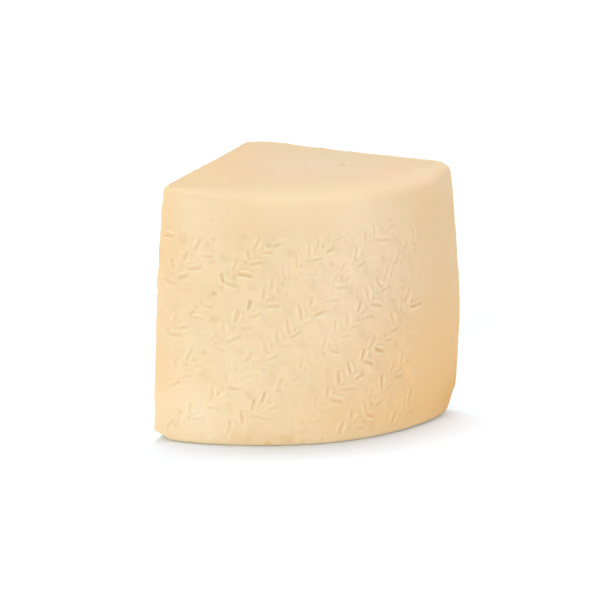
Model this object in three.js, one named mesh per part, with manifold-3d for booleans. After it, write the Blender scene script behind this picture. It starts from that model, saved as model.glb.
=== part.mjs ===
// A chunk of hard sheep's milk cheese: a quarter of a half-height wheel, standing on its cut base.
// The rind is the wheel's bulging side and flat top. Two upright cuts meet in a blunt edge at its axis.
// Millimetres, +Z up. The rind faces -Y, and the origin is the middle of the base of the bounding box.

import * as THREE from "three";
import { mergeVertices } from "three/addons/utils/BufferGeometryUtils.js";
import Module from "manifold-3d";

// Wheel, from its cut base up to its flat top
const HEIGHT = 167.5;
const BASE_RADIUS = 150.4;
const BELLY_RADIUS = 150.1;
const RIM_RADIUS = 140.9;
const BASE_ROUND = 5;
const BELLY_STEPS = 20;
const ROUND_STEPS = 6;
const RIM_STEPS = 8;
const WHEEL_SEGMENTS = 120;

// Cuts that take the chunk out of the wheel. The blunt edge at the axis leaves them at two distances from it.
const HALF_ANGLE = THREE.MathUtils.degToRad(45);
const BLUNT_RIGHT = 22;
const BLUNT_LEFT = 11;
const BLUNT_STEPS = 8;
const CUTTER_MARGIN = 20;

// Rounding of the rim: how far it reaches in along the top and down the side, at its sharpest and softest. It
// softens between two turns at the left end, and sharpens to a share between two turns at the right end.
const RIM_IN = [4, 24];
const RIM_DOWN = [3, 11];
const RIM_SOFTENS = [-HALF_ANGLE, -0.35];
const RIM_SHARPENS = [0.5, HALF_ANGLE];
const RIGHT_END_SHARE = 0.25;

// Slump: how far the curd leaves a true turned form. Each swell of the rind is a sine, with its share of the
// height, its pace per radian round the wheel and per millimetre up, and its start.
const SWELL_HEIGHT = 0.45;
const SWELLS = [
  { share: 1, round: 5.1, up: 0.031, start: 0.4 },
  { share: 0.6, round: 11, up: -0.045, start: 2.0 },
  { share: 0.5, round: 2.3, up: 0.07, start: 1.1 },
];
const SHOULDER = { height: 1.3, turn: 0.2, low: 0.55, high: 0.97 };
const TOP_SLOPE = 0.0062;
const TOP_SWELL = { height: 0.35, across: 0.045, along: 0.038, start: 0.8 };

// Handling: what is knocked off the corners of the base, at the left (-1) and right (1) ends of the rind
const BROKEN_CORNERS = [
  { end: -1, alongRind: 14, alongCut: 12.5, up: 7 },
  { end: 1, alongRind: 160, alongCut: 29, up: 1.8 },
  { end: 1, alongRind: 13, alongCut: 22, up: 15.5 },
];

// Pressed mould band: rows that rise to the right across the rind, a plait of slanting dashes and a row of
// dimples in turn. Left and right are arcs from the middle of the rind, low and high are heights.
const BAND = { slant: 42, pitch: 13, left: -112, right: 74, low: 9, high: 140 };
const DASH = { pitch: 10.5, rise: 4.3, slant: 38, length: 10.5, width: 3.2, depth: 1.3 };
const DASH_SINK = 0.6;
const DIMPLE = { pitch: 15.75, radius: 3, depth: 1.2 };
const LEAST_DEPTH_SHARE = 0.5;

const wasm = await Module();
wasm.setup();

// A closed geometry as a solid that can be cut: shared corners merged, collapsed triangles dropped.
function toSolid(geometry) {
  const bare = new THREE.BufferGeometry();
  bare.setAttribute("position", geometry.getAttribute("position"));
  bare.setIndex(geometry.getIndex());
  const merged = mergeVertices(bare, 1e-4);
  const corners = merged.index.array;
  const kept = [];
  for (let i = 0; i < corners.length; i += 3) {
    const [a, b, c] = corners.subarray(i, i + 3);
    if (a !== b && b !== c && a !== c) kept.push(a, b, c);
  }
  return new wasm.Manifold(
    new wasm.Mesh({
      numProp: 3,
      vertProperties: merged.getAttribute("position").array,
      triVerts: new Uint32Array(kept),
    }),
  );
}

function toGeometry(solid) {
  const mesh = solid.getMesh();
  const geometry = new THREE.BufferGeometry();
  geometry.setAttribute("position", new THREE.BufferAttribute(mesh.vertProperties, 3));
  geometry.setIndex(new THREE.BufferAttribute(mesh.triVerts, 1));
  geometry.computeVertexNormals();
  return geometry;
}

// Turn about the wheel's axis, from the middle of the rind towards +X.
const turnOf = (x, y) => Math.atan2(x, -y);

// Share of the way from one value to another, eased at both ends.
const ease = (value, from, to) => THREE.MathUtils.smoothstep(value, from, to);

// Radius of the bulging side at a height: one parabola through base, belly and rim.
function sideRadius(z) {
  const t = z / HEIGHT;
  const control = 2 * BELLY_RADIUS - (BASE_RADIUS + RIM_RADIUS) / 2;
  return (1 - t) ** 2 * BASE_RADIUS + 2 * t * (1 - t) * control + t ** 2 * RIM_RADIUS;
}

// How far the rind stands off the turned form: slow swells, and a fuller shoulder high on the left.
function rindOffset(turn, z) {
  let swell = 0;
  for (const { share, round, up, start } of SWELLS) swell += share * Math.sin(round * turn + up * z + start);
  const { height, turn: from, low, high } = SHOULDER;
  const shoulder = height * ease(-turn, from, HALF_ANGLE) * ease(z, low * HEIGHT, high * HEIGHT);
  return SWELL_HEIGHT * swell + shoulder;
}

// How far the rounding of the rim draws the rind in at a height: an ellipse that touches side and top.
function rimInset(turn, z) {
  const sharpened = THREE.MathUtils.lerp(1, RIGHT_END_SHARE, ease(turn, ...RIM_SHARPENS));
  const softness = ease(turn, ...RIM_SOFTENS) * sharpened;
  const inward = THREE.MathUtils.lerp(...RIM_IN, softness);
  const downward = THREE.MathUtils.lerp(...RIM_DOWN, softness);
  const climb = THREE.MathUtils.clamp(1 - (HEIGHT - z) / downward, 0, 1);
  return inward * (1 - Math.sqrt(1 - climb ** 2));
}

// How far the top is lifted at a place: a steady slope to the right and one slow swell, fading out below.
function topLift(x, y, z) {
  const { height, across, along, start } = TOP_SWELL;
  const swell = height * Math.sin(across * x + start) * Math.cos(along * y);
  return (z / HEIGHT) * TOP_SLOPE * x + swell * ease(z, HEIGHT / 2, HEIGHT);
}

// Half of the wheel's section, from the axis along the base, up the side and back along the top, with the rim
// still square. Its heights close up towards the top.
function wheelProfile() {
  const profile = new THREE.Path();
  profile.moveTo(0, 0);
  const lowest = sideRadius(BASE_ROUND);
  profile.lineTo(lowest - BASE_ROUND, 0);
  profile.absarc(lowest - BASE_ROUND, BASE_ROUND, BASE_ROUND, -Math.PI / 2, 0, false);
  const points = profile.getPoints(ROUND_STEPS);
  const softest = RIM_DOWN[1];
  for (let i = 1; i < BELLY_STEPS; i++) {
    const z = THREE.MathUtils.lerp(BASE_ROUND, HEIGHT - softest, i / BELLY_STEPS);
    points.push(new THREE.Vector2(sideRadius(z), z));
  }
  for (let i = 0; i <= RIM_STEPS; i++) {
    const z = HEIGHT - softest * (1 - Math.sin(((i / RIM_STEPS) * Math.PI) / 2));
    points.push(new THREE.Vector2(sideRadius(z), z));
  }
  points.push(new THREE.Vector2(0, HEIGHT));
  return points;
}

// The half-height wheel, turned about +Z, then slumped out of true and rounded along its rim.
function wheel() {
  const geometry = new THREE.LatheGeometry(wheelProfile(), WHEEL_SEGMENTS);
  geometry.rotateX(Math.PI / 2);
  const place = geometry.getAttribute("position");
  for (let i = 0; i < place.count; i++) {
    const [x, y, z] = [place.getX(i), place.getY(i), place.getZ(i)];
    const turn = turnOf(x, y);
    const stretch = 1 + (rindOffset(turn, z) - rimInset(turn, z)) / sideRadius(z);
    place.setXYZ(i, x * stretch, y * stretch, z + topLift(x * stretch, y * stretch, z));
  }
  return toSolid(geometry);
}

// An upright block with the plan of the chunk: a right angle with a blunt corner, wider than the wheel. The
// corner is a parabola that touches both cuts.
function cutter() {
  const reach = BELLY_RADIUS + CUTTER_MARGIN;
  const [across, along] = [Math.sin(HALF_ANGLE), Math.cos(HALF_ANGLE)];
  const far = (2 * reach) / along;
  const plan = new THREE.Shape();
  plan.moveTo(-far * across, -far * along);
  plan.lineTo(far * across, -far * along);
  plan.lineTo(BLUNT_RIGHT * across, -BLUNT_RIGHT * along);
  plan.quadraticCurveTo(0, 0, -BLUNT_LEFT * across, -BLUNT_LEFT * along);
  plan.closePath();
  const geometry = new THREE.ExtrudeGeometry(plan, {
    depth: HEIGHT + 2 * CUTTER_MARGIN,
    bevelEnabled: false,
    curveSegments: BLUNT_STEPS,
  });
  geometry.translate(0, 0, -CUTTER_MARGIN);
  return toSolid(geometry);
}

// A block whose inner face cuts off a corner of the base: it meets the base edge, the cut and the upright
// edge at the given distances from the corner.
function cornerBlock({ end, alongRind, alongCut, up }) {
  const turn = end * HALF_ANGLE;
  const outward = new THREE.Vector3(Math.sin(turn), -Math.cos(turn), 0);
  const corner = outward.clone().multiplyScalar(BASE_RADIUS + rindOffset(turn, 0));
  const rindward = new THREE.Vector3(-end * Math.cos(turn), -end * Math.sin(turn), 0);
  const axisward = outward.clone().negate();
  const face = new THREE.Vector3(0, 0, 1 / up);
  face.addScaledVector(rindward, 1 / alongRind).addScaledVector(axisward, 1 / alongCut);
  const depth = 1 / face.length();
  face.normalize();
  const size = 4 * Math.max(alongRind, alongCut);
  const geometry = new THREE.BoxGeometry(size, size, size);
  geometry.translate(0, 0, depth - size / 2);
  geometry.applyQuaternion(new THREE.Quaternion().setFromUnitVectors(new THREE.Vector3(0, 0, 1), face));
  geometry.translate(corner.x, corner.y, corner.z);
  return toSolid(geometry);
}

// A repeatable share between 0 and 1 for a numbered mark.
function shareOf(number) {
  const wave = Math.sin(number * 12.9898 + 4.1414) * 43758.5453;
  return wave - Math.floor(wave);
}

// Sets a tool, made flat at the origin with its depth along +Y, into the rind at a turn and a height.
function pressInto(geometry, turn, z, lift) {
  const radius = sideRadius(z) + rindOffset(turn, z) + lift;
  geometry.rotateZ(turn);
  geometry.translate(radius * Math.sin(turn), -radius * Math.cos(turn), z);
  return toSolid(geometry);
}

// The depth of a numbered mark, somewhere between a light and a full press.
const pressOf = (number, depth) => depth * THREE.MathUtils.lerp(LEAST_DEPTH_SHARE, 1, shareOf(number));

// A dash of the plait: a slanting, pointed groove. Its tool is a flattened octahedron that sinks in by a
// share of its half, so that at full press the groove has the stated length, width and depth.
function dash(number, turn, z, way) {
  const keel = DASH.depth / DASH_SINK;
  const geometry = new THREE.OctahedronGeometry(1);
  geometry.scale(DASH.length / 2 / DASH_SINK, keel, DASH.width / 2 / DASH_SINK);
  geometry.rotateY(-THREE.MathUtils.degToRad(BAND.slant + way * DASH.slant));
  return pressInto(geometry, turn, z, keel - pressOf(number, DASH.depth));
}

// A dimple between the plaits: the mark of a round-nosed peg.
function dimple(number, turn, z) {
  const geometry = new THREE.SphereGeometry(DIMPLE.radius, 7, 5);
  return pressInto(geometry, turn, z, DIMPLE.radius - pressOf(number, DIMPLE.depth));
}

// Turns and heights of marks one pitch apart along a slanting line. Across is how far the line lies from the
// one through the foot of the rind's middle.
function placesAlong(across, pitch) {
  const slant = THREE.MathUtils.degToRad(BAND.slant);
  const half = Math.ceil((BELLY_RADIUS + HEIGHT) / pitch);
  const places = [];
  for (let i = -half; i <= half; i++) {
    const along = i * pitch;
    const arc = along * Math.cos(slant) - across * Math.sin(slant);
    const z = along * Math.sin(slant) + across * Math.cos(slant);
    const inside = arc > BAND.left && arc < BAND.right && z > BAND.low && z < BAND.high;
    if (inside) places.push([arc / BELLY_RADIUS, z]);
  }
  return places;
}

// Every mark of the mould band, as tools to take out of the rind.
function mouldBand() {
  const tools = [];
  const rows = Math.ceil((BELLY_RADIUS + HEIGHT) / BAND.pitch);
  for (let row = -rows; row <= rows; row++) {
    const across = row * BAND.pitch;
    if (row % 2) {
      for (const [turn, z] of placesAlong(across, DIMPLE.pitch)) tools.push(dimple(tools.length, turn, z));
      continue;
    }
    for (const way of [1, -1]) {
      const places = placesAlong(across + way * DASH.rise, DASH.pitch);
      for (const [turn, z] of places) tools.push(dash(tools.length, turn, z, way));
    }
  }
  return tools;
}

// The finished chunk, with the middle of its base at the origin.
function chunk() {
  let solid = wheel().intersect(cutter());
  for (const tool of [...BROKEN_CORNERS.map(cornerBlock), ...mouldBand()]) solid = solid.subtract(tool);
  const geometry = toGeometry(solid);
  geometry.computeBoundingBox();
  const middle = geometry.boundingBox.getCenter(new THREE.Vector3());
  geometry.translate(-middle.x, -middle.y, -geometry.boundingBox.min.z);
  return geometry;
}

const cheese = new THREE.MeshStandardMaterial({ color: 0xf3dcb2, roughness: 0.55, metalness: 0 });
const chunkMesh = new THREE.Mesh(chunk(), cheese);
chunkMesh.name = "cheese_chunk";

const part = new THREE.Group();
part.add(chunkMesh);

export default part;
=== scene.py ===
"""A chunk of hard sheep's milk cheese: a quarter of a half-height wheel that stands on its cut base.

The chunk is one closed surface, a grid worked out with numpy. Its columns run round the plan: along the
rind, the right cut, the blunt back edge and the left cut. Its rows run from the middle of the base, up
the side and in to the middle of the top. Sizes are in millimetres until the mesh is made. The wheel's
axis stands at x 0, y 0 and the rind faces -Y. A turn is an angle about that axis, in radians from the
middle of the rind to the right. The finished grid is set on the middle of its base, as the solid that it
stands for is.
"""

import math
from itertools import product

import bpy
import numpy as np
from mathutils import Matrix, Vector


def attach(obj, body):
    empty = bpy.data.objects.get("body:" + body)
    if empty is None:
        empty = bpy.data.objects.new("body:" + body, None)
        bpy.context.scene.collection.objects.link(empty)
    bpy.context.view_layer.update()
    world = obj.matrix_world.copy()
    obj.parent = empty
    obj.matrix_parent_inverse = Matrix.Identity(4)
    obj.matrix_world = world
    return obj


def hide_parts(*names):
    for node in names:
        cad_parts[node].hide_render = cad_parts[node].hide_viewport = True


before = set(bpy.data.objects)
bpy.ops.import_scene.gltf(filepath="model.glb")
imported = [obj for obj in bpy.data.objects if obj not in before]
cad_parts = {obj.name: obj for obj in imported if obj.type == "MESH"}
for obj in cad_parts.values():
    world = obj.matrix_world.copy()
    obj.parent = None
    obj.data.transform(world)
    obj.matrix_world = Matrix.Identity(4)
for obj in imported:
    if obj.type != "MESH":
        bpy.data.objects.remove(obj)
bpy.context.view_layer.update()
NODE = "cheese_chunk"
MM = 0.001
TINY = 1e-9

# Wheel, from its cut base up to its flat top
HEIGHT = 167.5
BASE_RADIUS = 150.4
BELLY_RADIUS = 150.1
RIM_RADIUS = 140.9
BASE_ROUND = 5.0

# Where the wheel's axis stands in the chunk's own frame, whose origin is the middle of its base
AXIS_PLACE = np.array([-0.15, 78.57, 0.0])

# Cuts that take the chunk out of the wheel. The blunt edge at the axis leaves the cuts at two distances
# from it. Rind and cut meet in a rounded arris, and the rind's columns stop short of it by a multiple of
# its rounding.
HALF_ANGLE = math.radians(45)
BLUNT_RIGHT = 22.0
BLUNT_LEFT = 11.0
ARRIS_ROUND = 0.7
ARRIS_GAP = 1.25

# Rounding of the rim: how far it reaches in along the top and down the side, at its sharpest and at its
# softest. It is softest between two turns, and has lost a share of its softness at the right end.
RIM_IN = (4.0, 24.0)
RIM_DOWN = (3.0, 11.0)
RIM_SOFTEST = (-0.35, 0.5)
RIM_LOSS = 0.75

# Slump: each swell of the rind has its share of the height, its pace per radian round the wheel and per
# millimetre up, and its start
SWELL_HEIGHT = 0.45
SWELLS = ((1.0, 5.1, 0.031, 0.4), (0.6, 11.0, -0.045, 2.0), (0.5, 2.3, 0.07, 1.1))
SHOULDER = {"height": 1.3, "turn": 0.2, "low": 0.55, "high": 0.97}
TOP_SLOPE = 0.0062
TOP_SWELL = {"height": 0.35, "across": 0.045, "along": 0.038, "start": 0.8}

# What is knocked off the corners of the base: which end of the rind, how far along the rind, along the
# cut and up the break reaches, and how soft its edges are
BROKEN_CORNERS = (
    (-1, 14.0, 12.5, 7.0, 0.4),
    (1, 160.0, 29.0, 1.8, 1.5),
    (1, 13.0, 22.0, 15.5, 4.0),
)

# Height above the base over which the rind and all relief set in, so that the base stays flat
FOOT_FADE = 2.0

# Pressed mould band: rows that rise to the right across the rind, a plait of slanting dashes and a row of
# dimples in turn, with a row of pricks along each plait. Left and right are arcs from the middle of the
# rind, low and high are heights. Marks stand a pitch apart in their row, and their middles are strewn over
# a breadth along the row and one across it. The depth, length and radius of a mark lie between a least and
# a most. A dash stands off its row by its rise, and its slant varies over the angle of its lean.
BAND = {"slant": math.radians(42), "left": -112.0, "right": 64.0, "low": 9.0, "high": 140.0}
PLAIT_PITCH = 26.0
MISSING_SHARE = 0.14
DASH = {
    "pitch": 10.5,
    "strewn": (2.0, 3.0),
    "depth": (0.45, 1.0),
    "length": (6.18, 10.815),
    "width": 2.5,
    "rise": 4.3,
    "slant": math.radians(38),
    "lean": 0.9,
}
DIMPLE = {"pitch": 15.75, "strewn": (3.0, 3.0), "depth": (0.405, 0.9), "radius": (3.2, 4.8), "seed": 21.0}
PRICK = {"pitch": 5.25, "strewn": (1.8, 1.8), "depth": (0.45, 1.0), "radius": (1.28, 1.92), "seed": 33.0}

# Shape of a dash: the power that makes its ends blunt, its lips, whose height is a share of its depth and
# whose place and reach are in half widths, and a prick near one end, whose place is a share of its length
DASH_BLUNTNESS = 6
DASH_LIP = {"height": 1.0, "place": 1.7, "reach": 0.6}
DASH_PRICK = {"place": 0.36, "radius": 1.2, "depth": 0.3}
LEAST_HALF_WIDTH = 0.05

# Seeds that tell apart the random shares of one mark
DASH_DRAWS = {"depth": 0.0, "aside": 5.0, "above": 9.0, "lean": 13.0, "length": 17.0, "missing": 21.0}
ROUND_DRAWS = {"depth": 0.0, "aside": 5.0, "above": 9.0, "radius": 13.0, "missing": 17.0}

# How far the band is dragged out of line by its noises, and how they wear it: the mean share of the depth
# that is left, its swing, its least and its most. It is deeper low down, and on the left, which keeps
# more of the pressing.
BAND_DRAG = 1.5
BAND_TREMOR = 0.5
BAND_WEAR = {"broad wear": (0.9, 0.45, 0.6, 1.15), "fine wear": (0.9, 0.8, 0.3, 1.25)}
LEFT_RIND = {"arc": (-30.0, -90.0), "height": (30.0, 80.0), "deeper": 0.3}
LOW_RIND = {"height": (80.0, 30.0), "deeper": 0.3}

# Relief of the rind: the height of each size of lump on smooth rind, and how much higher it is on pressed
# rind. The pressing has a strength, more of it on the left, and fades out above the band, beside it and
# at the foot.
LUMPS = {"broad lumps": (0.16, 0.42), "lumps": (0.06, 0.55), "fine lumps": (0.06, 0.16)}
RIB = {"height": 0.4, "bend": 3.0, "mean": 0.7, "swing": 0.5}
PRESSING = {"strength": 1.1, "left": 0.5, "above": 8.0, "beside": 10.0, "foot": (2.0, 14.0)}

# Relief of the cuts: level streaks that the wire dragged along, and crumbs that are rougher in patches
STREAK_HEIGHT = 0.25
STREAK_SQUASH = np.array([1.0, 1.0, 6.0])
CRUMBS = {"broad crumbs": 0.30, "crumbs": 0.22, "fine crumbs": 0.14}
ROUGHNESS = (0.84, 2.1)
ROUGH_FROM = (0.0, 0.6)

# Sharp edges: how far in they reach and how far they stand out, how deep their nicks and their grain are,
# and how high the noise is where a nick starts. Nicks are shallower at the top and have their whole depth
# some way below it.
EDGE = {"reach": 4.0, "height": 0.5, "nick": 0.6, "grain": 0.08, "nick_from": 0.35}
NICK_SHARE = (0.12, 1.0)
NICK_DROP = (2.0, 8.0)

# Small damage: how many there are, and the range of each number that is drawn for them, in this order.
# Pits and chips lie by arc and height on the rind, eyes and cracks by distance from the axis and height
# on the cuts.
SEED = 11
RIND_PITS = {"count": 90, "arc": (-112, 112), "height": (4, 160), "radius": (0.9, 1.8), "depth": (0.2, 0.6)}
FOOT_CHIPS = {"count": 16, "arc": (-88, -4), "height": (1, 9), "radius": (1.8, 3.4), "depth": (0.5, 1.3)}
CUT_EYES = {"count": 110, "out": (12, 146), "height": (3, 164), "radius": (0.7, 1.9), "depth": (0.4, 1.3)}
CUT_CRACKS = {
    "count": 26,
    "out": (18, 138),
    "height": (10, 158),
    "slant": (-0.7, 0.7),
    "length": (7, 24),
    "depth": (0.5, 1.2),
}

# Shape of the damage: the power of a hollow's bowl, and how wide a crack is and how far it wavers from its
# line, with a pace in radians per millimetre
BOWL_POWER = 1.5
CRACK_HALF_WIDTH = 1.1
CRACK_SWAY = {"far": 0.9, "pace": 0.7}
CRACK_TREMOR = {"far": 0.5, "pace": 1.9}

# A pit in the top and a nick in its back edge: where each lies on the wheel, and how far it reaches
TOP_PITS = (
    {"place": (32.2, -80.8, 167.7), "size": (1.8, 4.4, 4.0)},
    {"place": (35.4, -37.0, 168.0), "size": (2.4, 2.4, 3.0)},
)
PIT_DEPTH = 1.2

# Noises: the size of their grains, and a seed each
GRAINS = {
    "broad lumps": (14.0, 1.0),
    "lumps": (6.5, 2.0),
    "fine lumps": (3.0, 3.0),
    "streaks": (80.0, 4.0),
    "broad wear": (26.0, 5.0),
    "broad crumbs": (11.0, 6.0),
    "crumbs": (5.0, 7.0),
    "fine crumbs": (2.4, 8.0),
    "rough patches": (30.0, 9.0),
    "nicks": (6.0, 12.0),
    "edge grain": (2.2, 13.0),
    "clouds": (26.0, 14.0),
    "spots": (5.0, 15.0),
    "stains": (15.0, 16.0),
    "drag aside": (16.0, 21.0),
    "tremor aside": (3.6, 22.0),
    "drag up": (16.0, 23.0),
    "tremor up": (3.6, 24.0),
    "rib bend": (22.0, 25.0),
    "rib swing": (18.0, 26.0),
    "fine wear": (5.5, 27.0),
}

# How far a seed shifts a noise's lattice, and the paces and the multiple of the sine that scatters numbers
SEED_SHIFT = 0.37
SCATTER_PACES = (12.9898, 78.233, 37.719)
SCATTER_GAIN = 43758.5453

# Grid: columns round the plan and rows up the section. A power crowds the rings of base and top towards
# their edge.
RIND_COLUMNS = 300
ARRIS_COLUMNS = 4
CUT_COLUMNS = 52
APEX_COLUMNS = 10
BASE_RINGS = 5
BASE_ROWS = 7
SIDE_ROWS = 180
RIM_ROWS = 13
TOP_RINGS = 22
CAP_MIDDLE = (0.0, -82.0)
RING_CROWDING = 1.3

# Camera, fitted to the photograph: the aim is given in wheel sizes and by the pixel where it shows
VIEW_AZIMUTH = math.radians(-22.65)
VIEW_ELEVATION = math.radians(15.91)
VIEW_ROLL = math.radians(-1.34)
VIEW_DISTANCE = 2800.0
VIEW_TARGET = (0.0, -84.0, 70.0)
PICTURE_SIDE = 600
TARGET_PIXEL = (296.2, 313.3)
PIXELS_PER_MM = 1.5225
SENSOR_WIDTH = 36.0

# Studio: half the floor's side in metres, the strength of the white surroundings, and the distant lamps,
# each with its azimuth, its elevation and the angle that it fills, all in degrees, and its strength
FLOOR_HALF_SIDE = 6.0
SURROUND_STRENGTH = 0.45
LAMPS = {
    "key": (-46.0, 16.0, 40.0, 1.12),
    "fill": (30.0, 15.0, 40.0, 0.38),
    "overhead": (172.0, 76.0, 18.0, 0.38),
    "back left": (-140.0, 77.0, 25.0, 0.39),
    "back right": (140.0, 75.0, 25.0, 0.38),
    "left side": (-115.0, 42.0, 50.0, 0.42),
    "right side": (115.0, 44.0, 50.0, 0.5),
}


def ease(value, start, end):
    """Share of the way from start to end, eased: three squares less two cubes of the clipped share."""
    share = np.clip((value - start) / (end - start), 0.0, 1.0)
    return share * share * (3.0 - 2.0 * share)


def between(ends, share):
    """The number at a share of the way between two ends."""
    return ends[0] + (ends[1] - ends[0]) * share


def scatter(first, second, third):
    """A repeatable share from 0 to 1 for three numbers: the fraction of a large multiple of a sine."""
    angle = first * SCATTER_PACES[0] + second * SCATTER_PACES[1] + third * SCATTER_PACES[2]
    wave = np.sin(angle) * SCATTER_GAIN
    return wave - np.floor(wave)


def grain(points, name):
    """One of the noises, smooth and from -1 to 1.

    Each corner of a cubic lattice has a random value, and a point blends the eight corners round it with
    weights that are eased along each axis.
    """
    size, seed = GRAINS[name]
    place = points / size + SEED_SHIFT * seed
    cell = np.floor(place)
    near = ease(place - cell, 0.0, 1.0)
    total = np.zeros(points.shape[:-1])
    for corner in product((0, 1), repeat=3):
        weight = np.prod(np.where(corner, near, 1.0 - near), axis=-1)
        lattice = cell + corner
        total += weight * scatter(lattice[..., 0] + seed, lattice[..., 1], lattice[..., 2])
    return 2.0 * total - 1.0


def side_radius(z):
    """Radius of the bulging side at a height: one parabola through base, belly and rim."""
    share = z / HEIGHT
    control = 2 * BELLY_RADIUS - (BASE_RADIUS + RIM_RADIUS) / 2
    return (1 - share) ** 2 * BASE_RADIUS + 2 * share * (1 - share) * control + share**2 * RIM_RADIUS


def rind_offset(turn, z):
    """How far the rind stands off the turned form: a sum of slow sines of turn and height, and a fuller
    shoulder that grows towards the left end and the top."""
    swell = sum(share * np.sin(pace * turn + up * z + start) for share, pace, up, start in SWELLS)
    shoulder = ease(-turn, SHOULDER["turn"], HALF_ANGLE)
    shoulder = shoulder * ease(z, SHOULDER["low"] * HEIGHT, SHOULDER["high"] * HEIGHT)
    return SWELL_HEIGHT * swell + SHOULDER["height"] * shoulder


def top_lift(x, y, z):
    """How far the top is lifted: a slope to the right and one slow swell, both fading towards the base."""
    swell = TOP_SWELL["height"] * np.sin(TOP_SWELL["across"] * x + TOP_SWELL["start"])
    swell = swell * np.cos(TOP_SWELL["along"] * y)
    return z / HEIGHT * TOP_SLOPE * x + swell * ease(z, HEIGHT / 2, HEIGHT)


def polar(turn, out, aside):
    """Plan places at a turn about the axis: a distance out along it and one aside, towards more turn."""
    x = out * np.sin(turn) + aside * np.cos(turn)
    y = -out * np.cos(turn) + aside * np.sin(turn)
    return np.stack(np.broadcast_arrays(x, y), axis=-1)


def rim_share(turn):
    """How soft the rim is, from 0 to 1: sharp at the left end, softest in the middle and right of it."""
    loss = RIM_LOSS * ease(turn, RIM_SOFTEST[1], HALF_ANGLE)
    return ease(turn, -HALF_ANGLE, RIM_SOFTEST[0]) * (1 - loss)


def rim_inset(turn, level):
    """How far the rim's rounding draws the rind in: an ellipse that touches the side and the top."""
    share = rim_share(turn)
    climb = np.clip(1 - (HEIGHT - level) / between(RIM_DOWN, share), 0, 1)
    return between(RIM_IN, share) * (1 - np.sqrt(1 - climb**2))


def side_rows():
    """Heights of the side's rows, how far the base's quarter circle draws the rind in at each, and how
    far a much smaller one at base and top draws the cuts in."""
    low_bend = np.linspace(0, np.pi / 2, BASE_ROWS)
    high_bend = np.linspace(0, np.pi / 2, RIM_ROWS)
    middle = np.linspace(BASE_ROUND, HEIGHT - RIM_DOWN[1], SIDE_ROWS + 2)[1:-1]
    low = BASE_ROUND * (1 - np.cos(low_bend))
    high = HEIGHT - RIM_DOWN[1] * (1 - np.sin(high_bend))
    level = np.concatenate([low, middle, high])
    base_inset = np.zeros_like(level)
    base_inset[:BASE_ROWS] = BASE_ROUND * (1 - np.sin(low_bend))
    into_arris = np.clip(1 - np.minimum(level, HEIGHT - level) / ARRIS_ROUND, 0, 1)
    cut_inset = ARRIS_ROUND * (1 - np.sqrt(1 - into_arris**2))
    return level, base_inset, cut_inset


def plan_columns(level, base_inset, cut_inset):
    """Plan places of the side, columns by rows, and the share of rind in each column.

    The rind is an arc of the wheel. A quarter circle rounds each upright arris between rind and cut. A
    cut is a straight line along a radius. The blunt back edge is a parabola that touches both cuts,
    further out on the right: it adds the squares of the two shares of the way, each times the point where
    the parabola leaves its cut.
    """
    gap = ARRIS_GAP * ARRIS_ROUND / BELLY_RADIUS
    turns = np.linspace(-HALF_ANGLE + gap, HALF_ANGLE - gap, RIND_COLUMNS)[:, None]
    inset = base_inset + rim_inset(turns, level)
    rind = polar(turns, side_radius(level) + rind_offset(turns, level) - inset, 0.0)
    bend = np.linspace(0, np.pi / 2, ARRIS_COLUMNS + 2)[1:-1, None]
    share = np.linspace(1, 0, CUT_COLUMNS)[:, None]
    cuts = {}
    for end, touch in ((1, BLUNT_RIGHT), (-1, BLUNT_LEFT)):
        turn = end * HALF_ANGLE
        reach = side_radius(level) + rind_offset(turn, level) - base_inset - rim_inset(turn, level)
        aside = ARRIS_ROUND * (1 - np.sin(bend)) + cut_inset * np.sin(bend)
        arris = polar(turn, reach - ARRIS_ROUND * (1 - np.cos(bend)), -end * aside)
        face = polar(turn, touch + share * (reach - ARRIS_ROUND - touch), -end * cut_inset)
        cuts[end] = np.concatenate([arris, face])
    way = np.linspace(0, 1, APEX_COLUMNS + 2)[1:-1, None]
    right = polar(HALF_ANGLE, BLUNT_RIGHT * (1 - way) ** 2, -cut_inset * (1 - way))
    left = polar(-HALF_ANGLE, BLUNT_LEFT * way**2, cut_inset * way)
    places = np.concatenate([rind, cuts[1], right + left, cuts[-1][::-1]])
    cut_share = np.concatenate([np.cos(bend[:, 0]) ** 2, np.zeros(CUT_COLUMNS)])
    rind_share = np.concatenate([np.ones(RIND_COLUMNS), cut_share, np.zeros(APEX_COLUMNS), cut_share[::-1]])
    return places, rind_share


def cap_rings(edge, rings):
    """Rings between an edge loop and the middle of the base or top: copies of the edge, drawn towards
    that middle by a power of their share of the way, so that they lie closer near the edge."""
    share = 1 - np.linspace(0, 1, rings + 2)[1:-1] ** RING_CROWDING
    middle = np.array([*CAP_MIDDLE, edge[0, 2]])
    return middle + (edge - middle)[:, None, :] * share[None, :, None]


def bare_grid():
    """Places of the chunk before any relief, and the share of rind at each, columns by rows."""
    level, base_inset, cut_inset = side_rows()
    plan, rind_share = plan_columns(level, base_inset, cut_inset)
    heights = np.broadcast_to(level[None, :, None], plan.shape[:2] + (1,))
    side = np.concatenate([plan, heights], axis=-1)
    base = cap_rings(side[:, 0], BASE_RINGS)[:, ::-1]
    top = cap_rings(side[:, -1], TOP_RINGS)
    grid = np.concatenate([base, side, top], axis=1)
    side_share = rind_share[:, None] * ease(level, 0.0, FOOT_FADE)[None, :]
    shares = [np.zeros(base.shape[:2]), side_share, np.ones(top.shape[:2])]
    grid[..., 2] += top_lift(grid[..., 0], grid[..., 1], grid[..., 2])
    return grid, np.concatenate(shares, axis=1)


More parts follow.
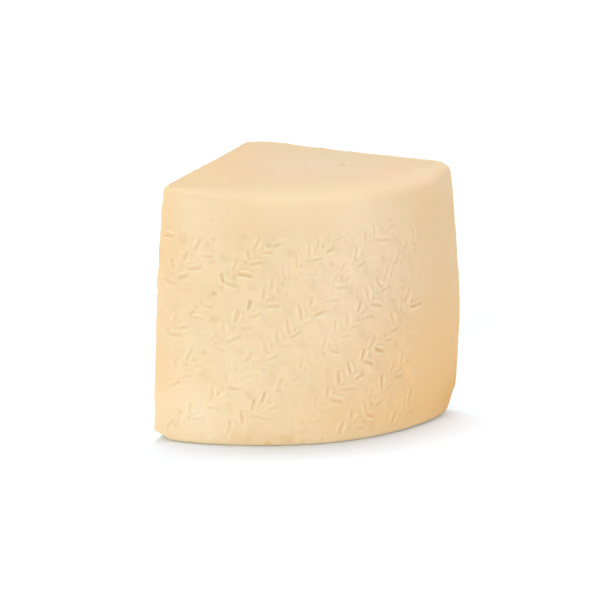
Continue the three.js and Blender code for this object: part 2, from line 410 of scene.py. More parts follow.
def break_corners(grid):
    """The grid with its base corners broken off.

    A break is a plane that meets the base edge, the cut and the upright edge at its three distances from
    the corner. What lies outside the plane is moved straight back onto it, with the crease softened by a
    parabola.
    """
    for end, along_rind, along_cut, up, soft in BROKEN_CORNERS:
        turn = end * HALF_ANGLE
        outward = np.array([math.sin(turn), -math.cos(turn), 0.0])
        rindward = np.array([-end * math.cos(turn), -end * math.sin(turn), 0.0])
        corner = outward * (BASE_RADIUS + rind_offset(turn, 0.0))
        inward = rindward / along_rind - outward / along_cut + np.array([0.0, 0.0, 1.0 / up])
        depth = 1.0 / np.linalg.norm(inward)
        inward = inward * depth
        outside = depth - (grid - corner) @ inward
        crease = np.clip(outside + soft, 0, 2 * soft) ** 2 / (4 * soft)
        grid = grid + np.where(outside > soft, outside, crease)[..., None] * inward
    return grid


def grid_normals(grid):
    """Outward normals: the cross product of the step to the next column and the step to the next row."""
    across = np.roll(grid, -1, axis=0) - np.roll(grid, 1, axis=0)
    along = np.gradient(grid, axis=1)
    normal = np.cross(across, along)
    return normal / np.maximum(np.linalg.norm(normal, axis=-1, keepdims=True), TINY)


def band_axes(arc, z):
    """Distances along and across the mould band's rows: arc and height, turned by the slant."""
    along = arc * math.cos(BAND["slant"]) + z * math.sin(BAND["slant"])
    across = z * math.cos(BAND["slant"]) - arc * math.sin(BAND["slant"])
    return along, across


def in_band(along, across):
    """True where a place, given along and across the rows, lies inside the edges of the mould band."""
    arc = along * math.cos(BAND["slant"]) - across * math.sin(BAND["slant"])
    z = along * math.sin(BAND["slant"]) + across * math.cos(BAND["slant"])
    return (arc > BAND["left"]) & (arc < BAND["right"]) & (z > BAND["low"]) & (z < BAND["high"])


def nearest_mark(along, across, mark, start, rise, draws, seed):
    """The mark nearest to each place: how far the place lies aside of it and above it, how deep it is
    pressed, whether it is there, and its random shares.

    Rows lie a plait's pitch apart from a start, and a mark's row and number are found by rounding to the
    pitches. Its middle is lifted out of the row by a rise and strewn a little.
    """
    row = np.round((across - start) / PLAIT_PITCH)
    number = np.round(along / mark["pitch"])
    middle_along = number * mark["pitch"]
    middle_across = row * PLAIT_PITCH + start + rise
    draw = {name: scatter(number, row, seed + own) for name, own in draws.items()}
    aside = along - middle_along + mark["strewn"][0] * (draw["aside"] - 0.5)
    above = across - middle_across + mark["strewn"][1] * (draw["above"] - 0.5)
    kept = in_band(middle_along, middle_across) & (draw["missing"] > MISSING_SHARE)
    return aside, above, between(mark["depth"], draw["depth"]), kept, draw


def dashes(along, across, way):
    """Depth of the dashes on one side of every plait, below 0 on their lips.

    Each place is turned into the axes of its nearest dash. A dash is a blunt stroke: its half width falls
    with a high power of the distance along it from its middle, and its depth with the square of the
    distance across it. A low lip stands along both sides as a bell curve, and a small round prick lies
    near one end.
    """
    rise = way * DASH["rise"]
    aside, above, deep, kept, draw = nearest_mark(along, across, DASH, 0.0, rise, DASH_DRAWS, way)
    lean = way * (DASH["slant"] + DASH["lean"] * (draw["lean"] - 0.5))
    length = between(DASH["length"], draw["length"])
    run = aside * np.cos(lean) + above * np.sin(lean)
    off = above * np.cos(lean) - aside * np.sin(lean)
    taper = np.sqrt(np.clip(1 - (2 * run / length) ** DASH_BLUNTNESS, 0, 1))
    share = np.abs(off) / np.maximum(DASH["width"] / 2 * taper, LEAST_HALF_WIDTH)
    groove = np.clip(1 - share**2, 0, 1)
    lip = DASH_LIP["height"] * np.exp(-(((share - DASH_LIP["place"]) / DASH_LIP["reach"]) ** 2))
    from_prick = np.hypot(run - DASH_PRICK["place"] * length, off)
    prick = DASH_PRICK["depth"] * np.clip(1 - (from_prick / DASH_PRICK["radius"]) ** 2, 0, 1)
    return (deep * (groove - lip) * taper + prick) * kept


def round_marks(along, across, mark, start):
    """Depth of rows of round marks, one row between every two plaits or along their middles: a bowl round
    the nearest mark, as deep as one less the squared distance in radii."""
    seed = mark["seed"]
    aside, above, deep, kept, draw = nearest_mark(along, across, mark, start, 0.0, ROUND_DRAWS, seed)
    radius = between(mark["radius"], draw["radius"])
    bowl = np.clip(1 - (aside**2 + above**2) / radius**2, 0, 1)
    return deep * bowl * kept


def left_strength(arc, z):
    """How much more of the pressing the left of the rind keeps, from 0 to 1: more to the left and up."""
    return ease(arc, *LEFT_RIND["arc"]) * ease(z, *LEFT_RIND["height"])


def mould_band(grid, arc, z):
    """Depth pressed into the rind, below 0 on the lips of the dashes.

    It adds up all the marks, dragged out of line by a broad and a fine noise. Another two noises wear it,
    and it is deeper on the left and low down.
    """
    arc = arc + BAND_DRAG * grain(grid, "drag aside") + BAND_TREMOR * grain(grid, "tremor aside")
    z = z + BAND_DRAG * grain(grid, "drag up") + BAND_TREMOR * grain(grid, "tremor up")
    along, across = band_axes(arc, z)
    depth = dashes(along, across, 1) + dashes(along, across, -1)
    depth = depth + round_marks(along, across, DIMPLE, PLAIT_PITCH / 2)
    depth = depth + round_marks(along, across, PRICK, 0.0)
    for name, (mean, swing, least, most) in BAND_WEAR.items():
        depth = depth * np.clip(mean + swing * grain(grid, name), least, most)
    deeper = LEFT_RIND["deeper"] * left_strength(arc, z) + LOW_RIND["deeper"] * ease(z, *LOW_RIND["height"])
    return depth * (1 + deeper)


def ribs(grid, arc, z):
    """Low ribs between the rows: a cosine across them, from about -1 to 1, bent and varied by noise."""
    across = band_axes(arc, z)[1] + RIB["bend"] * grain(grid, "rib bend")
    strength = RIB["mean"] + RIB["swing"] * grain(grid, "rib swing")
    return strength * np.cos(2 * np.pi * across / PLAIT_PITCH)


def pressed_share(arc, z):
    """How strongly the pressing shows: full inside the mould band, eased out past its top, its right end
    and its foot, and stronger on the left."""
    above = ease(z, BAND["high"] + PRESSING["above"], BAND["high"] - PRESSING["above"])
    beside = ease(arc, BAND["right"] + PRESSING["beside"], BAND["right"] - PRESSING["beside"])
    strength = PRESSING["strength"] + PRESSING["left"] * left_strength(arc, z)
    return above * beside * strength * ease(z, *PRESSING["foot"])


def strewn(chance, kind):
    """Rows of random numbers, a row for each piece of damage and a column for each of its ranges."""
    count, *ranges = kind.values()
    return np.stack([chance.uniform(low, high, count) for low, high in ranges], axis=-1)


def hollows(first, second, spots):
    """Depth of round hollows, given as two coordinates, a radius and a depth each: a power of one less
    the squared distance in radii. Where hollows overlap, the deeper one counts."""
    depth = np.zeros_like(first)
    for first_at, second_at, radius, deep in spots:
        share = ((first - first_at) ** 2 + (second - second_at) ** 2) / radius**2
        depth = np.maximum(depth, deep * np.clip(1 - share, 0, 1) ** BOWL_POWER)
    return depth


def cracks(along, z, strokes):
    """Depth of short cracks on the cuts: a line through a place at a slant, deepest at its middle, that
    wavers by a slow sine and a quick one."""
    depth = np.zeros_like(along)
    for middle, height, slant, length, deep in strokes:
        run = (along - middle) * math.cos(slant) + (z - height) * math.sin(slant)
        off = (z - height) * math.cos(slant) - (along - middle) * math.sin(slant)
        off = off + CRACK_SWAY["far"] * np.sin(CRACK_SWAY["pace"] * run + middle)
        off = off + CRACK_TREMOR["far"] * np.sin(CRACK_TREMOR["pace"] * run + height)
        fade = np.clip(1 - (2 * run / length) ** 2, 0, 1)
        depth = np.maximum(depth, deep * fade * np.clip(1 - np.abs(off) / CRACK_HALF_WIDTH, 0, 1))
    return depth


def handling(arc, z):
    """Depth of the pits in the rind and of the chips along its foot."""
    chance = np.random.default_rng(SEED)
    pits = hollows(arc, z, strewn(chance, RIND_PITS))
    return np.maximum(pits, hollows(arc, z, strewn(chance, FOOT_CHIPS)))


def cut_depth(grid, z):
    """Depth of the small eyes and cracks in the two cuts, by distance from the axis: right above 0, left
    below. Every other one lies on the left."""
    chance = np.random.default_rng(SEED + 1)
    out = np.hypot(grid[..., 0], grid[..., 1])
    along = np.where(grid[..., 0] > 0, out, -out)
    eyes = strewn(chance, CUT_EYES)
    strokes = strewn(chance, CUT_CRACKS)
    eyes[::2, 0] *= -1
    strokes[::2, 0] *= -1
    return np.maximum(hollows(along, z, eyes), cracks(along, z, strokes))


def edge_share(aside, skin, under_top, z):
    """How near a place is to a sharp edge of the chunk, from 0 to 1: the edges where a cut meets the
    rind, the top or the base, and the foot of the rind."""
    nearest = np.minimum(np.hypot(aside, skin), np.minimum(np.hypot(aside, under_top), np.hypot(aside, z)))
    nearest = np.minimum(nearest, np.hypot(skin, z))
    return ease(nearest, EDGE["reach"], 0.0)


def rind_relief(grid, arc, z):
    """How far the rind stands out: lumps of three sizes and the ribs, higher where it was pressed, less
    the pits and chips."""
    pressed = pressed_share(arc, z)
    lumps = sum((smooth + more * pressed) * grain(grid, name) for name, (smooth, more) in LUMPS.items())
    return lumps + RIB["height"] * pressed * ribs(grid, arc, z) - handling(arc, z)


def cut_relief(grid):
    """How far the paste of the cuts stands out: streaks, which are a noise squashed in height, and crumbs
    of three sizes times a roughness that changes from patch to patch."""
    streaks = STREAK_HEIGHT * grain(grid * STREAK_SQUASH, "streaks")
    rough = between(ROUGHNESS, ease(grain(grid, "rough patches"), *ROUGH_FROM))
    return streaks + rough * sum(height * grain(grid, name) for name, height in CRUMBS.items())


def edge_relief(grid, edges, z):
    """How far the sharp edges stand out: a steady height that gives back what their rounding takes, less
    nicks where a noise is high, and less a fine grain."""
    whole = between(NICK_SHARE, ease(z, HEIGHT - NICK_DROP[0], HEIGHT - NICK_DROP[1]))
    nicks = np.clip(grain(grid, "nicks") - EDGE["nick_from"], 0, 1) * whole
    return edges * (EDGE["height"] - EDGE["nick"] * nicks - EDGE["grain"] * grain(grid, "edge grain"))


def relief(grid, rind_share, edges):
    """How far the surface stands out at each place, the depth pressed into its rind and the depth of the
    holes in its cuts, all in millimetres."""
    arc = np.arctan2(grid[..., 0], -grid[..., 1]) * BELLY_RADIUS
    z = grid[..., 2]
    press = mould_band(grid, arc, z) * rind_share
    holes = cut_depth(grid, z) * (1 - rind_share)
    surface = rind_share * rind_relief(grid, arc, z) + (1 - rind_share) * cut_relief(grid)
    return surface + edge_relief(grid, edges, z) - press - holes, press, holes


def step(measure, start, end, before=0.0, after=1.0):
    """A factor of a colour zone: eased from before to after while a measure goes from start to end."""
    return lambda at: between((before, after), ease(at[measure], start, end))


def bell(measure, middle, reach):
    """A factor of a colour zone: the exponential of minus the squared distance from its middle."""
    return lambda at: np.exp(-(((at[measure] - middle) / reach) ** 2))


def without(share, *factors):
    """A factor of a colour zone: 1, less a share of the product of other factors."""
    return lambda at: 1 - share * math.prod(factor(at) for factor in factors)


def measured(measure):
    """A factor of a colour zone: a measure as it is."""
    return lambda at: at[measure]


# Lines that the colour zones are measured from: the broad patch leans to the right with height from a
# level, the foot spots lie round a turn, and the crest counts each millimetre of drop below the top as
# several of depth
PATCH_LEAN = {"turn": 0.0016, "level": 105.0}
SPOTS_TURN = -0.3
CREST_DROP = 6.0

# Colour zones of rind and top: a zone is the product of its factors. Depth is how far a place lies in
# from the rind. The side's colours blend into those of the top a little below it.
TOP_BLEND = 4.0
ON_TOP = step("height", HEIGHT - TOP_BLEND, HEIGHT)
ON_SIDE = step("height", HEIGHT, HEIGHT - TOP_BLEND)
# Painted shade: the right corner of the base, where the break turns down and away from the light, is
# darkened and browned by the toast wash
RIGHT_CORNER_SHADE = (bell("x", 106, 21), bell("y", -106, 21), bell("height", 4, 21))
ZONES = {
    # Painted shade: the rind turns warmer and darker towards its right end, which faces away from the key
    # lamp, more so lower down; painted light lifts it a little near the foot, away from the right corner
    "right side": (
        ON_SIDE,
        step("turn", -0.28, HALF_ANGLE),
        step("height", 0.9 * HEIGHT, 0.0, before=0.3, after=0.96),
        step("turn", 0.68, HALF_ANGLE, before=1.0, after=0.85),
        without(0.3, step("height", 14, 2), without(1.0, *RIGHT_CORNER_SHADE)),
    ),
    "right corner": RIGHT_CORNER_SHADE,
    # Painted highlight: paler below the rim towards the right end, spreading the rim's highlight
    "right shoulder": (ON_SIDE, step("turn", 0.35, 0.7), step("height", HEIGHT - 26, HEIGHT - 8)),
    # Painted light: the left of the rind, towards the key lamp, is paler, most of all high up below the rim
    "left side": (
        ON_SIDE,
        step("turn", -0.4, -0.7),
        step("height", HEIGHT - 35, HEIGHT - 12, before=0.13, after=0.23),
    ),
    "left edge": (
        ON_SIDE,
        step("turn", -0.6, -0.76),
        step("height", 0.55 * HEIGHT, 0.2 * HEIGHT, before=0.17, after=0.2),
    ),
    # Painted light: paler low on the left, as if lit by light bounced from the floor
    "low left": (step("turn", -0.1, -0.7), step("height", 0.55 * HEIGHT, 0.05 * HEIGHT)),
    # Painted highlight: paler just below the rim across the middle, spreading the rim's highlight down the
    # side
    "middle shoulder": (
        ON_SIDE,
        step("height", HEIGHT - 28, HEIGHT - 11),
        step("turn", -0.6, -0.3),
        step("turn", 0.25, 0.1),
    ),
    "middle of the side": (ON_SIDE, bell("turn", 0.2, 0.35), bell("height", 100, 50)),
    "broad patch": (ON_SIDE, bell("leaning turn", 0.05, 0.2), bell("height", 122, 55)),
    "stains": (ON_SIDE, step("turn", 0.45, 0.7), step("height", 70, 20), step("stains", 0.0, 0.5)),
    # Painted light: the middle of the foot is paler, against the shade of the floor's contact shadow
    "middle of the foot": (step("height", 38, 14), bell("turn", -0.02, 0.38)),
    # Painted light: the lowest few millimetres of the rind are paler, against the shade where it meets the
    # floor
    "foot line": (step("height", 7, 0),),
    "foot spots": (
        step("turn from spots", 0.25, 0.05),
        step("height", 13, 4),
        step("spots", 0.1, 0.6, before=0.35, after=1.35),
    ),
    # Painted shade: the rounded edge of the rim is darkened to damp the lamps' highlight on it, less at its
    # left end and not at all right of the middle
    "painted_edge_shade": (
        step("height", HEIGHT - 9, HEIGHT - 3),
        step("depth and drop", 4, 14),
        step("depth", 30, 6),
        step("turn", -0.5, -0.72, before=1.0, after=0.3),
        step("turn", 0.0, 0.4, before=1.0, after=0.0),
    ),
    "right of the rim": (
        step("turn", 0.1, 0.4),
        step("depth", 18, 6),
        step("height", HEIGHT - 14, HEIGHT - 4),
    ),
    "top": (ON_TOP,),
    "left of the top": (ON_TOP, step("turn", -0.2, -0.5)),
    "right of the top": (ON_TOP, step("turn", 0.3, 0.5)),
    # Painted highlight: the top is less warm near the rim, spreading the rim's highlight onto it
    "top behind the rim": (ON_TOP, step("depth", 15, 50)),
    "back of the top": (ON_TOP, step("depth", 60, 120)),
    "middle of the top": (ON_TOP, bell("x", 28, 68), bell("y", -74, 50)),
    # Painted shade: the top darkens towards the right cut
    "top along the right cut": (ON_TOP, step("to right cut", 45, 0)),
    "clouds": (measured("clouds"),),
}

# How strongly each zone takes each of the surface's colours. Besides the rind's own tones, the warm wash
# carries painted shade on the right of the rind, the pale wash painted light on the left and at the foot
# and a painted highlight below the rim, the toast wash painted shade at the right corner, and the
# edge-shade wash painted shade on the rim and along the right cut
WASHES = {
    "warm_and_painted_shade": {
        "right side": 1.0,
        "left edge": 1.0,
        "low left": 0.06,
        "middle of the foot": 0.11,
        "top": 0.08,
        "left of the top": 0.13,
        "right of the top": 0.26,
        "top behind the rim": 0.12,
        "back of the top": 0.08,
        "clouds": 0.1,
    },
    "pale_and_painted_light": {
        "low left": 1.0,
        "left side": 1.0,
        "broad patch": 1.0,
        "middle shoulder": 0.4,
        "right shoulder": 0.6,
        "middle of the foot": 0.45,
        "foot line": 0.6,
        "clouds": -0.13,
    },
    "toast_and_painted_shade": {"right corner": 1.0, "foot spots": 0.35, "stains": 0.16},
    "blush": {"middle of the top": 1.0, "middle of the side": 0.38, "right of the rim": 0.5},
    "painted_edge_shade": {"painted_edge_shade": 0.75, "top along the right cut": 0.75},
}


def colour_measures(grid, turn, skin):
    """What the factors of the colour zones measure at each place, by name."""
    x, y, z = np.moveaxis(grid, -1, 0)
    measures = {
        "x": x,
        "y": y,
        "height": z,
        "turn": turn,
        "leaning turn": turn - PATCH_LEAN["turn"] * (z - PATCH_LEAN["level"]),
        "turn from spots": np.abs(turn - SPOTS_TURN),
        "depth": skin,
        "depth and drop": skin + CREST_DROP * (HEIGHT - z),
        "to right cut": np.hypot(x, y) * np.sin(HALF_ANGLE - turn),
    }
    return measures | {name: grain(grid, name) for name in ("clouds", "spots", "stains")}


def colour_shares(grid, turn, skin, rind_share):
    """How far the surface takes each of its colours at each place, from 0 to 1: the sum of the zones,
    each times its strength in that colour, clipped and kept to the rind.

    The rind turns warmer and darker towards its right end, more so lower down, as painted shade, and the
    top turns warmer towards its sides and the axis, less so near the rim, which spreads the rim's highlight
    as a painted highlight. The rind is paler on the left, low on the left, at the foot and below the rim,
    which is painted light and painted highlight, and in one broad patch. The right corner of the base is
    darkened and browned as painted shade, and stains near it and spots along the foot are toasted. The
    middle of the top is flushed, and the rounded edge of the rim and the top along the right cut are
    darkened as painted shade.
    """
    at = colour_measures(grid, turn, skin)
    zones = {name: math.prod(factor(at) for factor in factors) for name, factors in ZONES.items()}
    sums = {
        colour: sum(strength * zones[name] for name, strength in wash.items())
        for colour, wash in WASHES.items()
    }
    return {colour: np.clip(total, 0, 1) * rind_share for colour, total in sums.items()}


def finished_grid():
    """Places of the finished surface, columns by rows, with the attributes that its colours read."""
    grid, rind_share = bare_grid()
    grid = break_corners(grid)
    x, y, z = np.moveaxis(grid, -1, 0)
    turn = np.arctan2(x, -y)
    out = np.hypot(x, y)
    skin = np.maximum(side_radius(z) + rind_offset(turn, z) - out, 0)
    under_top = np.maximum(HEIGHT + top_lift(x, y, HEIGHT) - z, 0)
    aside = out * np.sin(np.maximum(HALF_ANGLE - np.abs(turn), 0))
    edges = edge_share(aside, skin, under_top, z)
    stand_out, press, holes = relief(grid, rind_share, edges)
    place = grid + (stand_out * ease(z, 0.0, FOOT_FADE))[..., None] * grid_normals(grid)
    deepest_dash = DASH["depth"][1]
    shares = {
        "rind": rind_share,
        "press": np.clip(press / deepest_dash, 0, 1),
        "lips": np.clip(-press / deepest_dash, 0, 1),
        "holes": np.clip(holes, 0, 1),
        "inside": np.minimum(skin, under_top),
    }
    return place, shares | colour_shares(grid, turn, skin, rind_share)


def grid_faces(columns, rows):
    """Faces of a grid that closes on itself round its columns: quads, and a fan of triangles at each pole.

    Vertices are numbered column by column, and the base's pole and the top's pole come last.
    """
    column = np.arange(columns)[:, None]
    row = np.arange(rows - 1)[None, :]
    here = column * rows + row
    following = (column + 1) % columns * rows + row
    quads = np.stack([here, following, following + 1, here + 1], axis=-1).reshape(-1, 4)
    first = np.arange(columns) * rows
    second = np.roll(first, -1)
    base_pole = np.full(columns, columns * rows)
    base_fan = np.stack([second, first, base_pole], axis=-1)
    top_fan = np.stack([first + rows - 1, second + rows - 1, base_pole + 1], axis=-1)
    return quads.tolist() + base_fan.tolist() + top_fan.tolist()


def cheese_mesh():
    """The chunk's mesh, in metres, with the wheel's axis moved to its place in the chunk's own frame."""
    place, values = finished_grid()
    columns, rows = place.shape[:2]
    poles = np.stack([place[:, 0].mean(axis=0), place[:, -1].mean(axis=0)])
    points = np.concatenate([place.reshape(-1, 3), poles])
    mesh = bpy.data.meshes.new("cheese")
    mesh.from_pydata(((points + AXIS_PLACE) * MM).tolist(), [], grid_faces(columns, rows))
    for name, value in values.items():
        ends = [value[:, 0].mean(), value[:, -1].mean()]
        attribute = mesh.attributes.new(name, "FLOAT", "POINT")
        attribute.data.foreach_set("value", np.append(value.ravel(), ends).astype(np.float32))
    mesh.polygons.foreach_set("use_smooth", np.ones(len(mesh.polygons), dtype=bool))
    mesh.validate()
    mesh.update()
    return mesh


def colour_of(red, green, blue):
    """Linear colour of an sRGB colour given in 0 to 255, by the curve of the sRGB standard."""
    share = np.array([red, green, blue]) / 255.0
    linear = np.where(share <= 0.04045, share / 12.92, ((share + 0.055) / 1.055) ** 2.4)
    return (*linear.tolist(), 1.0)


# Colours of the rind: a mottled cream, and the washes that are laid over it in turn, which carry painted
# light and painted shade besides the rind's own tones
CREAM_DEEP = colour_of(229, 203, 160)
CREAM_LIGHT = colour_of(233, 209, 167)
WASH_COLOURS = {
    "pale_and_painted_light": colour_of(240, 218, 180),
    "warm_and_painted_shade": colour_of(239, 189, 121),
    "toast_and_painted_shade": colour_of(222, 171, 84),
    "blush": colour_of(229, 203, 172),
    "painted_edge_shade": colour_of(224, 201, 161),
}

# Colours of the marks in the rind, and how strongly the marks take them: painted shade in the pressed marks
# and in the pits of the top, and a painted highlight on the raised lips, which also reads as rubbed wear
MARK_SHADE = colour_of(216, 184, 135)
LIP_HIGHLIGHT = colour_of(252, 236, 204)
PRESS_SHADE = 0.05
LIP_HIGHLIGHT_SHARE = 0.32
PIT_SHADE = 0.6

# Colours of the cuts: a granular paste, its border under the rind, and the shade in its holes. The border
# runs from one depth under the rind to another, in millimetres.
PASTE_DEEP = colour_of(231, 212, 172)
PASTE_LIGHT = colour_of(243, 229, 198)
PASTE_BORDER = colour_of(226, 199, 148)
PASTE_SHADE = colour_of(206, 180, 134)
BORDER_DEPTHS = {"From Min": 0.5, "From Max": 9.0}
HOLE_DARKNESS = 0.7

# Finishes: the noises of the material, whose scale is in grains to the metre, the bumps that they make,
# whose distance is in metres, and the settings of the two shaders
MOTTLE = {"Scale": 120.0, "Detail": 5.0}
CURD = {"Scale": 260.0, "Detail": 6.0}
SKIN_GRAIN = {"Scale": 700.0, "Detail": 4.0}
SKIN_BUMP = {"Strength": 0.15, "Distance": 0.0006}
CURD_BUMP = {"Strength": 0.6, "Distance": 0.0015}
CHEESE_FINISH = {
    "Roughness": 0.52,
    "IOR": 1.45,
    "Subsurface Weight": 0.35,
    "Subsurface Radius": (1.0, 0.55, 0.3),
    "Subsurface Scale": 0.006,
}
FLOOR_FINISH = {
    "Base Color": (0.9, 0.93, 0.975, 1.0),
    "Roughness": 0.9,
    "Specular IOR Level": 0.0,
    "Emission Color": (0.6, 0.8, 1.0, 1.0),
    "Emission Strength": 0.075,
}


# Sockets of a node that mixes colours
MIX_FACTOR = 0
MIX_FIRST = 6
MIX_SECOND = 7
MIX_RESULT = 2


def add_node(tree, kind, inputs=(), **settings):
    """A node with its settings and inputs. An input is a value, or the socket that feeds it."""
    node = tree.nodes.new(kind)
    for name, value in settings.items():
        setattr(node, name, value)
    for name, value in dict(inputs).items():
        if isinstance(value, bpy.types.NodeSocket):
            tree.links.new(value, node.inputs[name])
        else:
            node.inputs[name].default_value = value
    return node


def mix_colours(tree, factor, first, second):
    """The colour socket of a mix of two colours."""
    inputs = {MIX_FACTOR: factor, MIX_FIRST: first, MIX_SECOND: second}
    return add_node(tree, "ShaderNodeMix", inputs, data_type="RGBA").outputs[MIX_RESULT]


def combine(tree, operation, first, second):
    """The socket of a product, difference or maximum of two inputs, each a number or a socket."""
    return add_node(tree, "ShaderNodeMath", {0: first, 1: second}, operation=operation).outputs[0]


def read_share(tree, name):
    """The socket of one of the chunk's own attributes."""
    return add_node(tree, "ShaderNodeAttribute", attribute_name=name).outputs["Fac"]


def noise_socket(tree, place, settings):
    """The value socket of a noise texture."""
    return add_node(tree, "ShaderNodeTexNoise", {"Vector": place, **settings}).outputs["Fac"]


def pit_share(tree, place, pit):
    """The socket of one small oval pit: 1 at its middle, falling smoothly to 0 at its edge."""
    middle = ((np.array(pit["place"]) + AXIS_PLACE) * MM).tolist()
    size = (np.array(pit["size"]) * MM).tolist()
    away = add_node(tree, "ShaderNodeVectorMath", {0: place, 1: middle}, operation="SUBTRACT").outputs[0]
    away = add_node(tree, "ShaderNodeVectorMath", {0: away, 1: size}, operation="DIVIDE").outputs[0]
    away = add_node(tree, "ShaderNodeVectorMath", {0: away}, operation="LENGTH").outputs["Value"]
    ends = {"Value": away, "From Min": 0.0, "From Max": 1.0, "To Min": 1.0, "To Max": 0.0}
    return add_node(tree, "ShaderNodeMapRange", ends, interpolation_type="SMOOTHSTEP").outputs["Result"]


def rind_colour(tree, place, pits):
    """The rind's colour socket: mottled cream under its washes, with painted shade in its pressed marks and
    its pits, and a painted highlight on the lips beside the marks, which also reads as rubbed wear."""
    cream = mix_colours(tree, noise_socket(tree, place, MOTTLE), CREAM_DEEP, CREAM_LIGHT)
    for name, colour in WASH_COLOURS.items():
        cream = mix_colours(tree, read_share(tree, name), cream, colour)
    # Painted shade in the pressed marks and the pits, and a painted highlight on the lips
    marks = (
        (read_share(tree, "press"), PRESS_SHADE, MARK_SHADE),
        (read_share(tree, "lips"), LIP_HIGHLIGHT_SHARE, LIP_HIGHLIGHT),
        (pits, PIT_SHADE, MARK_SHADE),
    )
    for share, strength, colour in marks:
        cream = mix_colours(tree, combine(tree, "MULTIPLY", share, strength), cream, colour)
    return cream


def paste_colour(tree, curd):
    """The cuts' colour socket: granular paste with a yellower border under the rind and shaded holes."""
    depths = {"Value": read_share(tree, "inside"), **BORDER_DEPTHS}
    border = add_node(tree, "ShaderNodeMapRange", depths).outputs["Result"]
    paste = mix_colours(tree, curd, PASTE_DEEP, PASTE_LIGHT)
    paste = mix_colours(tree, border, PASTE_BORDER, paste)
    shade = combine(tree, "MULTIPLY", read_share(tree, "holes"), HOLE_DARKNESS)
    return mix_colours(tree, shade, paste, PASTE_SHADE)


def bumped_normal(tree, pits, grains, crumbs):
    """The normal socket of the fine grain of the skin, the pits in the top and the crumbs of the cuts,
    one over the other."""
    skin = add_node(tree, "ShaderNodeBump", {"Height": grains, **SKIN_BUMP}).outputs["Normal"]
    inputs = {"Height": pits, "Distance": PIT_DEPTH * MM, "Normal": skin}
    pitted = add_node(tree, "ShaderNodeBump", inputs, invert=True).outputs["Normal"]
    inputs = {"Height": crumbs, "Normal": pitted, **CURD_BUMP}
    return add_node(tree, "ShaderNodeBump", inputs).outputs["Normal"]


def cheese_material():
    """Cream rind over paler granular paste, satin, with light that sinks in a little."""
    material = bpy.data.materials.new("cheese")
    material.use_nodes = True
    tree = material.node_tree
    tree.nodes.clear()
    place = add_node(tree, "ShaderNodeTexCoord").outputs["Object"]
    rind = read_share(tree, "rind")
    curd = noise_socket(tree, place, CURD)
    grains = noise_socket(tree, place, SKIN_GRAIN)
    pits = combine(tree, "MAXIMUM", *(pit_share(tree, place, pit) for pit in TOP_PITS))
    crumbs = combine(tree, "MULTIPLY", curd, combine(tree, "SUBTRACT", 1.0, rind))
    colour = mix_colours(tree, rind, paste_colour(tree, curd), rind_colour(tree, place, pits))
    normal = bumped_normal(tree, pits, grains, crumbs)
    settings = {"Base Color": colour, "Normal": normal, **CHEESE_FINISH}
    shader = add_node(tree, "ShaderNodeBsdfPrincipled", settings)
    add_node(tree, "ShaderNodeOutputMaterial", {"Surface": shader.outputs["BSDF"]})
    return material


def floor_material():
    """White sweep, matt, lit a little from below."""
    material = bpy.data.materials.new("floor")
    material.use_nodes = True
    shader = material.node_tree.nodes["Principled BSDF"]
    for name, value in FLOOR_FINISH.items():
        shader.inputs[name].default_value = value
    return material


def add_floor():
    """A plain square floor under the chunk."""
    signs = ((-1, -1), (1, -1), (1, 1), (-1, 1))
    corners = [(x * FLOOR_HALF_SIDE, y * FLOOR_HALF_SIDE, 0.0) for x, y in signs]
    mesh = bpy.data.meshes.new("floor")
    mesh.from_pydata(corners, [], [(0, 1, 2, 3)])
    mesh.materials.append(floor_material())
    floor = bpy.data.objects.new("floor", mesh)
    bpy.context.scene.collection.objects.link(floor)


def compass(azimuth, elevation):
    """Direction from the chunk to a viewer or lamp: azimuth 0 faces the rind, and more is to the right."""
    level = math.cos(elevation)
    return Vector((math.sin(azimuth) * level, -math.cos(azimuth) * level, math.sin(elevation)))


def add_lamp(name, azimuth, elevation, angle, strength):
    """A distant soft white lamp that shines on the chunk from a compass direction."""
    lamp = bpy.data.lights.new(name, "SUN")
    lamp.energy = strength
    lamp.angle = math.radians(angle)
    holder = bpy.data.objects.new(name, lamp)
    place = compass(math.radians(azimuth), math.radians(elevation))
    turn = (-place).to_track_quat("-Z", "Y")
    holder.matrix_world = Matrix.Translation(place) @ turn.to_matrix().to_4x4()
    bpy.context.scene.collection.objects.link(holder)


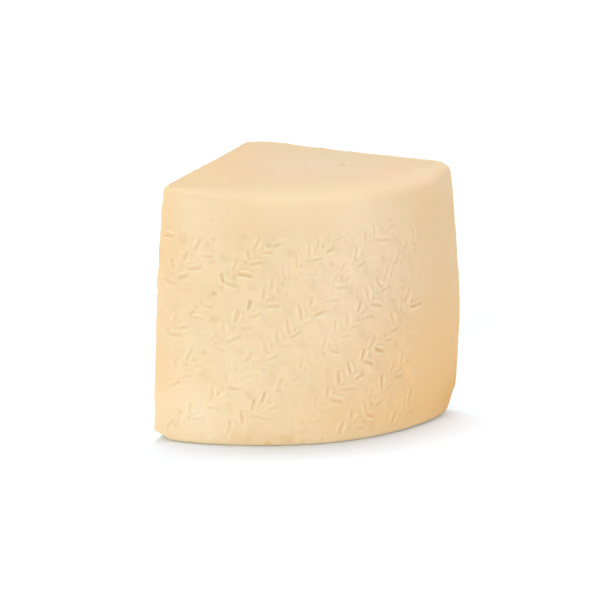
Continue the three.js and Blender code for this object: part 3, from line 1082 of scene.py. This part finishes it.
def add_light():
    """Dim white surroundings and the lamps: a key low on the left in front with a weaker fill on the
    right, three high up behind, and one on each side."""
    world = bpy.data.worlds.new("studio")
    world.use_nodes = True
    background = world.node_tree.nodes["Background"]
    background.inputs["Color"].default_value = (1.0, 1.0, 1.0, 1.0)
    background.inputs["Strength"].default_value = SURROUND_STRENGTH
    bpy.context.scene.world = world
    for name, settings in LAMPS.items():
        add_lamp(name, *settings)


def add_camera():
    """The photograph's view. The camera stands off the target along its compass direction. It is turned
    so that the target shows at its own pixel, and then rolled about its line of sight."""
    data = bpy.data.cameras.new("camera")
    data.sensor_width = SENSOR_WIDTH
    data.lens = SENSOR_WIDTH * PIXELS_PER_MM * VIEW_DISTANCE / PICTURE_SIDE
    target = Vector((np.array(VIEW_TARGET) + AXIS_PLACE) * MM)
    back = compass(VIEW_AZIMUTH, VIEW_ELEVATION)
    right = Vector((math.cos(VIEW_AZIMUTH), math.sin(VIEW_AZIMUTH), 0.0))
    up = back.cross(right)
    rolled_right = right * math.cos(VIEW_ROLL) - up * math.sin(VIEW_ROLL)
    rolled_up = right * math.sin(VIEW_ROLL) + up * math.cos(VIEW_ROLL)
    place = target + back * VIEW_DISTANCE * MM
    to_right = (PICTURE_SIDE / 2 - TARGET_PIXEL[0]) / PIXELS_PER_MM * MM
    to_top = (TARGET_PIXEL[1] - PICTURE_SIDE / 2) / PIXELS_PER_MM * MM
    aim = target + rolled_right * to_right + rolled_up * to_top
    back = (place - aim).normalized()
    across = rolled_up.cross(back).normalized()
    upright = back.cross(across)
    turn = Matrix((across, upright, back)).transposed()
    camera = bpy.data.objects.new("camera", data)
    camera.matrix_world = Matrix.Translation(place) @ turn.to_4x4()
    bpy.context.scene.collection.objects.link(camera)
    bpy.context.scene.camera = camera


def build():
    """The chunk, the floor, the light and the camera."""
    mesh = cheese_mesh()
    mesh.materials.append(cheese_material())
    cheese = bpy.data.objects.new("cheese", mesh)
    bpy.context.scene.collection.objects.link(cheese)
    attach(cheese, "root")
    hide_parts(NODE)
    add_floor()
    add_light()
    add_camera()
    bpy.context.scene.view_settings.view_transform = "Standard"


build()
